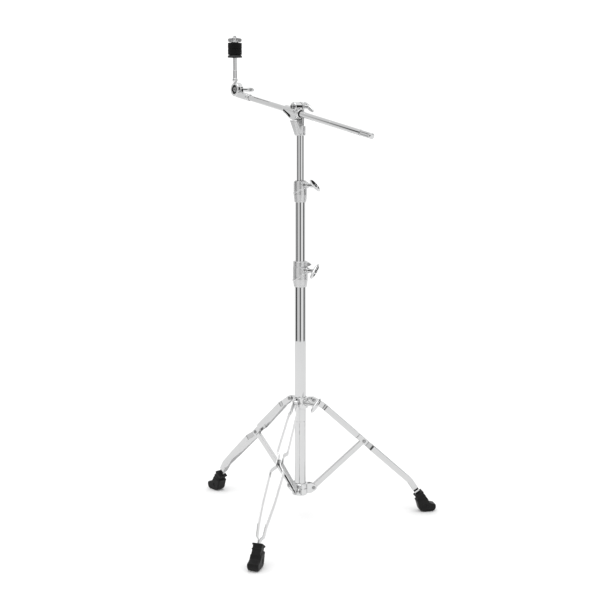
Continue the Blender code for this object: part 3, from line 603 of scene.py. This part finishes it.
for tag, (u, t) in LEGS.items():
    leg, br = f"{tag}_leg", f"{tag}_brace"
    strap(f"{tag}_strap_inner", f"{tag}_leg_strap_inner", leg, u, t, -1)
    strap(f"{tag}_strap_outer", f"{tag}_leg_strap_outer", leg, u, t, 1)
    foot(f"{tag}_rubber_boot", f"{tag}_foot", leg, u, t)
    brace(f"{tag}_brace_channel", f"{tag}_brace", br, u, t)
    pivot_pin(f"{tag}_hub_rivet", f"{tag}_hub_pin", leg, u, t, PIVOT_R, HUB_Z, TONGUE_T / 2 + 0.4 + STRAP_T)
    pivot_pin(f"{tag}_knee_rivet", f"{tag}_knee_pin", leg, u, t, KNEE_R, KNEE_Z, BRACE_T / 2 + 0.4 + STRAP_T)
    pivot_pin(f"{tag}_lower_rivet", f"{tag}_lower_pin", "base", u, t, PIVOT_R, LOW_Z, LUG_IN + LUG_T)


# ------------------------------------------------------------------ wings
def blade(mm, c, span_=45.0, wide=12.4, thick=9.0):
    """Oval T grip across the bolt: full and round at its middle, thinning towards its ends, dished on its face."""
    bm = bmesh.new()
    rings, n, rows = [], 40, 36
    for i in range(1, rows):
        f = -cos(pi * i / rows)
        x = f * span_ / 2
        e = (1 - abs(f) ** 3.2) ** 0.5
        w, d = wide / 2 * e * (1 - 0.12 * f * f), thick / 2 * e * (1 - 0.22 * abs(f))
        row = []
        for k in range(n):
            a = 2 * pi * k / n
            cx, cy = cos(a), sin(a)
            px, pz = w * abs(cx) ** 0.8 * (1 if cx >= 0 else -1), d * abs(cy) ** 0.8 * (1 if cy >= 0 else -1)
            if cy > 0:                                    # shallow dish along the outer face
                pz -= 0.9 * e * max(0.0, 1 - (px / (0.62 * wide / 2)) ** 2) * min(1.0, abs(f) * 3)
            row.append(bm.verts.new(mm @ Vector((x, px, c + pz))))
        rings.append(row)
    for A, B in zip(rings, rings[1:]):
        for k in range(n):
            bm.faces.new((A[k], B[k], B[(k + 1) % n], A[(k + 1) % n]))
    for row, x in ((rings[0], -span_ / 2), (rings[-1], span_ / 2)):
        tip_v = bm.verts.new(mm @ Vector((x, 0, c)))
        for k in range(n):
            bm.faces.new((row[k], row[(k + 1) % n], tip_v))
    return put("blade", bm)


def winged(stem, mm, c, cut=()):
    """A turned stem blended into its cast grip."""
    return moulded(merge(stem, [blade(mm, c)], list(cut)), 0.42, 3)


def wing_bolt(name, node, body, m, psi, tip, shoulder, c):
    mm = m @ Matrix.Rotation(radians(psi), 4, "Z")
    head = turned([(0, c + 4.2), (4.4, c + 4.2), (5.2, c + 3.0), (5.2, c - 4.0), (4.9, shoulder + 1.6), (6.3, shoulder + 1.4), (6.3, shoulder), (3.2, shoulder),
                   (3.2, tip + 0.8), (2.4, tip), (0, tip)], mm, 48)
    done(winged(head, mm, c), name, body, "cast", node, look="bright")


wing_bolt("hub_wing_casting", "hub_wing_bolt", "hub_wing", hub_m, 43.0, 15.2, 31.0, 58.0)
base_m, top_m = outward("base_wing_spin"), outward("top_wing_spin")
wing_bolt("base_wing_casting", "base_wing_bolt", "base_wing", base_m, 49.8, 17.3, 28.0, 50.5)
wing_bolt("top_wing_casting", "top_wing_bolt", "top_wing", top_m, -39.0, 14.5, 25.8, 50.5)


# ------------------------------------------------------------------ height clamps
def slant_rib(r, zc, slope, tall, proud):
    """Raised band round the body in a slanting plane."""
    bm = bmesh.new()
    rings = []
    for k in range(96):
        a = 2 * pi * k / 96
        z = zc + slope * r * cos(a)
        rings.append([bm.verts.new((q * cos(a), q * sin(a), z + h)) for q, h in
                      ((r - 1.5, tall / 2 + 1.2), (r + proud, tall / 2), (r + proud, -tall / 2), (r - 1.5, -tall / 2 - 1.2))])
    for i in range(96):
        A, B = rings[i], rings[(i + 1) % 96]
        for k in range(4):
            bm.faces.new((A[k], B[k], B[(k + 1) % 4], A[(k + 1) % 4]))
    return put("rib", bm)


def clamp_collar(name, node, body, m, tube_r, seat, bush_r, r_top, taper, rib):
    z0, z1 = span(node, Z)
    r_low = tube_r + GAP + 1.7
    prof = [(r_top - 1.2, z1), (r_top, z1 - 1.2), (r_top, taper), (r_low, z0 + 0.8), (r_low - 0.7, z0),
            (tube_r + GAP, z0), (tube_r + GAP, seat + GAP), (bush_r, seat + GAP), (bush_r, z1)]
    ob = turned(prof, segs=96, closed=True)
    boss = turned([(0, r_top + 8.5), (6.8, r_top + 8.5), (7.6, r_top + 7.5), (7.6, bush_r + 1.2), (0, bush_r + 1.2)], m)
    inner = rod(bush_r, seat + GAP, z1 + 5, segs=96)
    slot_m = m @ Matrix.Translation((0, 0, 0))
    gap = block((-0.8, -28, -60), (0.8, 28, -8), slot_m)   # saw cut at the back that lets the collar close
    ob = merge(ob, [slant_rib(*rib), boss], [inner, rod(3.6, tube_r - 4, r_top + 20, m), rod(tube_r + GAP, z0 - 5, seat + 1, segs=96), gap])
    done(moulded(ob, 0.45, 2), name, body, "cast", node)


clamp_collar("base_clamp_collar", "base_collar", "base", base_m, BASE_R, base_z[1], 17.0, 19.0, 627.0, (19.0, 636.3, 0.61, 2.6, 0.9))
clamp_collar("top_clamp_collar", "top_collar", "middle", top_m, MID_R, mid_z[1], 14.2, 16.8, 838.0, (16.8, 850.0, 0.46, 2.4, 0.9))
done(turned([(16.7, 658.0), (16.7, base_z[1] + 0.6), (MID_R + GAP, base_z[1] + 0.6), (MID_R + GAP, 658.0)], segs=80, closed=True, soft=0.4),
     "base_nylon_bushing", "base", "nylon", "base_bushing")
done(turned([(13.9, 872.5), (13.9, mid_z[1] + 0.6), (TOP_R + GAP, mid_z[1] + 0.6), (TOP_R + GAP, 872.5)], segs=80, closed=True, soft=0.4),
     "top_nylon_bushing", "middle", "nylon", "top_bushing")

# memory lock: split ring with a drum-key screw
z0, z1 = span("memory_lock", Z)
sc = centre("memory_lock_screw")
a = Vector((sc.x, sc.y, 0)).normalized()
h = Vector((-a.y, a.x, 0))
lock_m = axes(h, a.cross(h), a, (0, 0, (z0 + z1) / 2))
ob = turned([(17.0, z1), (18.0, z1 - 1.0), (18.0, z0 + 1.0), (17.0, z0), (MID_R + 0.25, z0), (MID_R + 0.25, z1)], segs=96, closed=True)
ob = merge(ob, [block((-5.5, -5.5, 15.0), (5.5, 5.5, 23.0), lock_m, 1.0)],
           [rod(2.6, 10, 30, lock_m), rod(MID_R + 0.25, z0 - 2, z1 + 2, segs=96), block((-0.7, -12, -30), (0.7, 12, -8), lock_m)])
done(moulded(ob, 0.4, 2), "memory_lock_ring", "memory_lock", "cast", "memory_lock")
screw = turned([(0, 27.0), (2.0, 27.0), (2.0, 26.4), (3.9, 26.4), (3.9, 23.3), (2.2, 23.3), (2.2, 13.6), (0, 13.6)], lock_m, 40, soft=0.3)
screw = merge(screw, [block((-1.9, -1.9, 25.0), (1.9, 1.9, 30.2), lock_m, 0.35)])
done(screw, "memory_lock_key_screw", "memory_lock", "zinc", "memory_lock_screw")

# ------------------------------------------------------------------ boom clamp
N = Vector(JOINTS["boom_tilt"]["axis"]).normalized()
D = N.cross(Z)
E = Vector(JOINTS["boom_slide"]["axis"]).normalized()
G = E.cross(N)
CLAMP = point("boom_tilt")
rod_mid = centre("boom_rod")
BOOM_O = rod_mid - E * (rod_mid - CLAMP).dot(E)
boom_u = span("boom_rod", E, BOOM_O)
along, across, side_m = axes(G, E.cross(G), E, BOOM_O), axes(D, N.cross(D), N, CLAMP), axes(D, Z, D.cross(Z), CLAMP)
TOP_END = top_z[1]

sock = turned([(0, 1006.2), (12.0, 1006.2), (13.0, 1005.0), (13.0, 992.0), (12.4, 991.4), (12.4, 989.6), (13.0, 989.0), (13.0, 984.0), (12.2, 982.7),
               (TOP_R + GAP, 982.7), (TOP_R + GAP, TOP_END + GAP), (0, TOP_END + GAP)], segs=96)
low_ring = [Vector((12.8 * cos(2 * pi * k / 48) - 1.2, 12.8 * sin(2 * pi * k / 48), 984.2)) for k in range(48)]
cup_rim = [D * q + N * n + Z * 1026.0 for q, n in ((-16, -22.5), (-14.6, -24.2), (-12, -25), (5, -25), (7.2, -23.6), (8, -21), (4, -5.5), (-12, -2.5), (-16, -6))]
neck = merge(hull(low_ring + cup_rim), cut=[rod(35.4, -40.0, -1.9, across, 160)])
ear = plate([(-9.5, -52.0), (9.5, -52.0), (10.5, -38.0)] + arc(0, 0, 12.6, -30, 210, 28), -4.0, 1.9, side_m)
relief = plate(fillet([(-6.5, -33.0), (5.0, -33.0), (4.2, -17.0), (-5.0, -17.0)], 2.0, True), -5.0, -2.9, side_m)
ob = merge(sock, [neck, ear], [relief, rod(3.3, -40, 20, across), rod(TOP_R + GAP, 970.0, TOP_END + GAP, segs=96)])
done(moulded(ob, 0.5, 3), "boom_neck_casting", "boom_base", "cast", "boom_casting")

knuckle = turned([(0, -2.3), (10.6, -2.3), (11.4, -2.9), (11.6, -3.6), (11.6, -21.4), (10.2, -23.6), (0, -23.6)], across, 96)
grip = turned([(0, 22.0), (10.0, 22.0), (11.0, 21.0), (11.0, 12.0), (10.4, 11.4), (10.4, 8.6), (11.0, 8.0), (11.0, -38.0), (10.0, -39.5), (0, -39.5)], along, 96)
jaw_out = [(-44.0, 4.5), (-46.0, -7.2), (-15.0, -28.4), (-2.0, -32.0), (9.0, -29.5), (14.0, -22.0), (14.0, -12.0), (-10.0, 0.0)]
jaw = plate(fillet(jaw_out, 3.0, True), 4.6, 22.4, side_m, 1.8, 3)
pocket_out = [(-36.5, -4.6), (-40.0, -7.6), (-15.6, -24.6), (-10.5, -23.6), (-12.5, -19.0)]
pocket = plate(fillet(pocket_out, 1.6, True), 18.4, 30.0, side_m)
ob = merge(knuckle, [grip, jaw], [pocket, rod(8.9, -60, 60, along, 96), rod(3.3, -40, 20, across)])
done(moulded(ob, 0.45, 3), "boom_grip_casting", "clamp", "cast", "boom_clamp", look="bright")
# dark nylon pad at the floor of the jaw's pocket: painted shade, a dark sheet standing in for the pocket's shadow
pad = plate(fillet([(x * 0.985 - 0.35, y * 0.985 - 0.25) for x, y in pocket_out], 1.6, True), 18.5, 19.8, side_m, 0.4, 2)
done(pad, "grip_pocket_shade_pad", "clamp", "nylon")
done(turned([(8.6, 23.0), (8.6, -41.0), (7.3, -41.0), (7.3, 23.0)], along, 64, closed=True, soft=0.35), "boom_nylon_bushing", "clamp", "nylon", "boom_bushing")

bolt = turned([(0, 20.0), (2.9, 20.0), (2.9, -24.0), (5.6, -24.0), (5.6, -27.2), (4.8, -28.0), (0, -28.0)], across, 48, soft=0.3)
done(merge(bolt, cut=[hexagon(2.6, -40, -25.3, across)]), "clamp_socket_bolt", "boom_base", "zinc", "clamp_bolt")


def wing_nut_piece(name, node, body, m, psi, shoulder, c, bore):
    mm = m @ Matrix.Rotation(radians(psi), 4, "Z")
    stem = turned([(0, c + 4.2), (4.4, c + 4.2), (5.4, c + 3.0), (5.4, c - 4.0), (5.2, shoulder + 3.4), (7.4, shoulder + 2.4), (7.4, shoulder), (0, shoulder)], mm, 48)
    done(winged(stem, mm, c, [rod(3.2, shoulder - 5, bore, mm)]), name, body, "cast", node, look="bright")


wing_nut_piece("clamp_wing_casting", "clamp_wing_nut", "clamp_wing", across, 31.0, 4.4, 26.0, 22.0)

# ------------------------------------------------------------------ boom arm
done(tube(7.0, 5.6, *boom_u, along, 80, 0.3, grooves=(41.0, 140.0)), "boom_arm_tube", "boom", "chrome", "boom_rod")
e0, e1 = boom_u[1] + 0.3, span("boom_end_stop", E, BOOM_O)[1]


def knurl(r, h, a):
    """Fine flutes on the grip of the end stop."""
    return r - (0.22 * (0.5 - 0.5 * cos(a * 36)) if e0 + 2.5 < h < e1 - 6.0 and r > 6.2 else 0.0)


prof = [(0, e1), (5.6, e1), (6.9, e1 - 1.2), (6.9, e1 - 4.0), (6.5, e1 - 4.6), (6.5, e0 + 0.8), (6.0, e0), (5.2, e0), (5.2, e0 - 14.0), (0, e0 - 14.0)]
done(turned(dense(fillet(prof, 0.4), 1.2), along, 144, shape=knurl), "boom_end_grip", "boom", "chrome", "boom_end_stop")

# ------------------------------------------------------------------ cymbal tilter
HINGE = point("tilter_tilt")
tilt = axes(D, N.cross(D), N, HINGE)
u_hinge = (HINGE - BOOM_O).dot(E)
sleeve = turned([(0, -194.0), (7.9, -194.0), (8.9, -195.2), (8.9, -202.0), (8.3, -202.5), (8.3, -204.6), (8.9, -205.1), (8.9, u_hinge + 3.0), (0, u_hinge + 3.0)], along, 96)
disc = rod(18.0, -13.8, -5.2, tilt, 96)
web = block((2.0, -2.0, -13.0), (20.0, 14.0, -6.0), tilt)
ob = merge(sleeve, [disc, web], [rod(18.9, -40.0, -14.1, tilt, 96), rod(7.3, boom_u[0] - GAP, -150.0, along, 64), rod(3.3, -40, 20, tilt)])
notches = []
for k in range(30):                                       # ratchet serrations round the meeting edge
    q = tilt @ Matrix.Rotation(2 * pi * k / 30, 4, "Z")
    notches.append(plate([(17.2, -0.7), (19.0, -1.1), (19.0, 1.1), (17.2, 0.7)], -14.5, -12.4, q))
nb = notches[0]
for extra in notches[1:]:
    bm = bmesh.new()
    bm.from_mesh(nb.data)
    bm.from_mesh(extra.data)
    bm.to_mesh(nb.data)
    bm.free()
    bpy.data.objects.remove(extra, do_unlink=True)
done(moulded(merge(ob, cut=[nb]), 0.42, 2), "tilter_base_casting", "boom", "cast", "tilter_base", look="bright")

crod = centre("cymbal_rod")
rod_m = axes(D, N, Z, Vector((crod.x, crod.y, 0)))
head = turned([(0, -14.4), (18.0, -14.4), (18.0, -19.6), (16.4, -21.4), (12.4, -21.4), (11.8, -20.8), (11.6, -15.9), (7.0, -15.9), (6.6, -17.9), (0, -17.9)], tilt, 96)
neck = turned([(0, 1131.0), (6.2, 1131.0), (7.0, 1129.6), (7.0, 1125.4), (3.8, 1121.6), (3.8, 1117.0), (0, 1117.0)], rod_m, 64)
ob = merge(head, [neck], [rod(3.3, -40, 20, tilt), rod(5.7, 1127.0, 1140.0, rod_m)])
done(moulded(ob, 0.38, 2), "tilter_head_casting", "tilter", "cast", "tilter_head", look="bright")
# dark nylon ring laid in the head's recess: painted shade, a dark piece standing in for the recess's shadow
done(turned([(11.3, -16.0), (11.3, -18.6), (7.3, -18.6), (7.3, -16.0)], tilt, 80, closed=True, soft=0.4), "tilter_head_shade_ring", "tilter", "nylon")
bolt = turned([(0, 24.0), (2.9, 24.0), (2.9, -18.2), (5.8, -18.2), (5.8, -20.2), (5.0, -21.0), (0, -21.0)], tilt, 48, soft=0.3)
done(merge(bolt, cut=[hexagon(2.7, -40, -19.2, tilt)]), "tilter_socket_bolt", "boom", "zinc", "tilter_bolt")
wing_nut_piece("tilter_wing_casting", "tilter_wing_nut", "tilter_wing", tilt, 2.0, -4.9, 27.0, 25.5)

# ------------------------------------------------------------------ cymbal rod, felts and nut
r0, r1 = span("cymbal_rod", Z)
PITCH = 1.25


def thread(r, h, a):
    """Rolled thread on the upper part of the rod."""
    if h < 1209.0 or h > r1 - 1.3 or r < 3.5:
        return r
    f = (h / PITCH + a / (2 * pi)) % 1.0
    return r - 0.62 * min(1.0, 1.6 * abs(2 * f - 1))


plain = fillet([(3.9, 1208.9), (3.9, 1184.2), (4.9, 1183.4), (4.9, 1151.6), (5.4, 1151.0), (5.4, r0)], 0.4) + [(0, r0)]
tip = [(0, r1), (2.8, r1), (3.9, r1 - 1.2)]
body_part = dense([(3.9, r1 - 1.2), (3.9, 1208.9)], 0.2)[1:-1]
done(turned(tip + body_part + plain, rod_m, 48, shape=thread), "threaded_cymbal_rod", "tilter", "chrome", "cymbal_rod")
s0, s1 = span("seat_washer", Z)
seat = turned([(13.2, s1 - 0.5), (14.0, s1), (17.4, s1 - 1.6), (19.0, s0 + 1.2), (19.0, s0), (8.4, s0), (8.0, s0 + 0.9), (4.2, s0 + 0.9), (4.2, s1 - 0.9), (12.4, s1 - 0.9)],
              rod_m, 96, closed=True, soft=0.35)
done(seat, "seat_cup_washer", "tilter", "nylon", "seat_washer")
f_lo, f_hi = span("lower_felt", Z), span("upper_felt", Z)
done(tube(5.9, 4.2, s1 + 0.3, f_hi[1] - 1.0, rod_m, 64, 0.3), "nylon_rod_sleeve", "tilter", "nylon", "rod_sleeve")


def felt(name, node, body, z0, z1, lean):
    """Pressed wool washer, a little crowned and uneven, with a fuzzy skin."""
    mid = (z0 + z1) / 2
    prof = dense(fillet([(17.8, z1 - 0.1), (18.2, z1 - 0.7), (18.3, mid), (18.2, z0 + 0.7), (17.8, z0 + 0.1), (6.6, z0 + 0.3), (6.3, z0 + 1.0), (6.3, z1 - 1.0), (6.6, z1 - 0.3)], 0.8, True), 0.7)
    tip_m = rod_m @ Matrix.Translation((0, 0, mid)) @ Matrix.Rotation(radians(lean), 4, "Y") @ Matrix.Translation((0, 0, -mid))
    ob = turned(prof, tip_m, 144, closed=True)
    for v in ob.data.vertices:
        q = v.co * 1.0
        push = (q - Vector((crod.x, crod.y, q.z))).normalized()
        up = (q.z - mid) / (z1 - z0)
        v.co += push * (noise.noise(q * 0.9) * 0.16 + noise.noise(q * 0.22) * 0.18 - 0.22)
        v.co.z += -up * 0.12 * (0.5 + 0.5 * noise.noise(q * 0.3))
    ob = done(ob, name, body, "felt", node, sharp=80)


felt("lower_wool_felt", "lower_felt", "tilter", *f_lo, 0.45)
felt("upper_wool_felt", "upper_felt", "upper_felt", *f_hi, 0.6)

n0 = f_hi[1] + GAP
nut = turned([(0, n0 + 13.4), (5.2, n0 + 13.4), (6.6, n0 + 11.6), (6.6, n0 + 5.0), (9.6, n0 + 3.0), (9.6, n0), (0, n0)], rod_m, 64)
ears = [(3.0, n0 + 2.4), (9.0, n0 + 1.8)] + arc(13.3, n0 + 6.9, 4.9, -75, 95, 18) + [(7.0, n0 + 12.6), (3.0, n0 + 13.0)]
face = Vector((D.x, D.y)).angle_signed(Vector((1, 0)))
turn = Matrix.Rotation(-face + radians(2.0), 4, "Z")
parts = [plate(ears, -2.6, 2.6, rod_m @ turn @ Matrix.Rotation(k * pi, 4, "Z") @ axes(X, Z, -Y), 0.9, 2) for k in (0, 1)]
done(moulded(merge(nut, parts, [rod(4.2, n0 - 4, n0 + 30, rod_m)]), 0.36, 2), "cymbal_wing_nut", "wing_nut", "cast", "wing_nut", look="satin")

# ------------------------------------------------------------------ floor and light
bm = bmesh.new()
bmesh.ops.create_circle(bm, cap_ends=True, segments=128, radius=2.5)
me = bpy.data.meshes.new("floor")
bm.to_mesh(me)
bm.free()
ground = bpy.data.objects.new("floor", me)
ground.location = (COL.x, COL.y, -0.0004)
scene.collection.objects.link(ground)
mat, nt, bsdf = nodes_of("pale_floor")
g = Graph(nt)
g.link(g.ramp(g.noise(3.0, 3.0), (0.3, grey(0.93)), (0.7, grey(0.95))), bsdf.inputs["Base Color"])
bsdf.inputs["Roughness"].default_value = 0.9
bsdf.inputs["Specular IOR Level"].default_value = 0.1
me.materials.append(mat)

world = bpy.data.worlds.new("studio")
scene.world = world
world.use_nodes = True
nt = world.node_tree
nt.nodes.clear()
L = nt.links.new


def wmath(op, *vals):
    n = nt.nodes.new("ShaderNodeMath")
    n.operation = op
    for k, v in enumerate(vals):
        if isinstance(v, (int, float)):
            n.inputs[k].default_value = v
        else:
            L(v, n.inputs[k])
    return n.outputs[0]


def step_up(v, a, b):
    n = nt.nodes.new("ShaderNodeMapRange")
    n.interpolation_type = "SMOOTHSTEP"
    n.inputs["From Min"].default_value, n.inputs["From Max"].default_value = a, b
    L(v, n.inputs["Value"])
    return n.outputs["Result"]


def band(v, a, b, soft):
    return wmath("MULTIPLY", step_up(v, a - soft, a + soft), wmath("SUBTRACT", 1.0, step_up(v, b - soft, b + soft)))


sep = nt.nodes.new("ShaderNodeSeparateXYZ")
L(nt.nodes.new("ShaderNodeTexCoord").outputs["Generated"], sep.inputs[0])
az = wmath("ABSOLUTE", wmath("ARCTAN2", sep.outputs["X"], wmath("MULTIPLY", sep.outputs["Y"], -1.0)))
height = sep.outputs["Z"]
flags = band(az, radians(67), radians(101), radians(3))         # black flags either side of the set
lens = wmath("SUBTRACT", 1.0, step_up(az, radians(11), radians(16)))    # the dark gap where the camera stands
mask = band(height, -0.24, 0.52, 0.05)
dim = wmath("ADD", wmath("MULTIPLY", flags, 0.97), wmath("MULTIPLY", lens, 0.88))
side = step_up(sep.outputs["X"], -0.5, 0.5)                      # the right-hand window is the brighter
bright = wmath("ADD", 1.12, wmath("MULTIPLY", side, 0.28))
level = wmath("MULTIPLY", bright, wmath("SUBTRACT", 1.0, wmath("MULTIPLY", wmath("MINIMUM", dim, 0.985), mask)))
plain_bg, cards = nt.nodes.new("ShaderNodeBackground"), nt.nodes.new("ShaderNodeBackground")
plain_bg.inputs["Color"].default_value = (1, 1, 1, 1)
plain_bg.inputs["Strength"].default_value = 1.12
L(level, cards.inputs["Strength"])
path = nt.nodes.new("ShaderNodeLightPath")
mix = nt.nodes.new("ShaderNodeMixShader")
L(path.outputs["Is Glossy Ray"], mix.inputs["Fac"])
L(plain_bg.outputs[0], mix.inputs[1])
L(cards.outputs[0], mix.inputs[2])
L(mix.outputs[0], nt.nodes.new("ShaderNodeOutputWorld").inputs["Surface"])

soft = bpy.data.lights.new("overhead_softbox", "AREA")
soft.shape, soft.size, soft.energy = "DISK", 1.8, 12.0
lamp = bpy.data.objects.new("overhead_softbox", soft)
lamp.location = (COL.x - 0.5, COL.y - 0.6, 2.9)
lamp.rotation_euler = (radians(12), radians(-10), 0)
scene.collection.objects.link(lamp)
scene.view_settings.view_transform = "Standard"
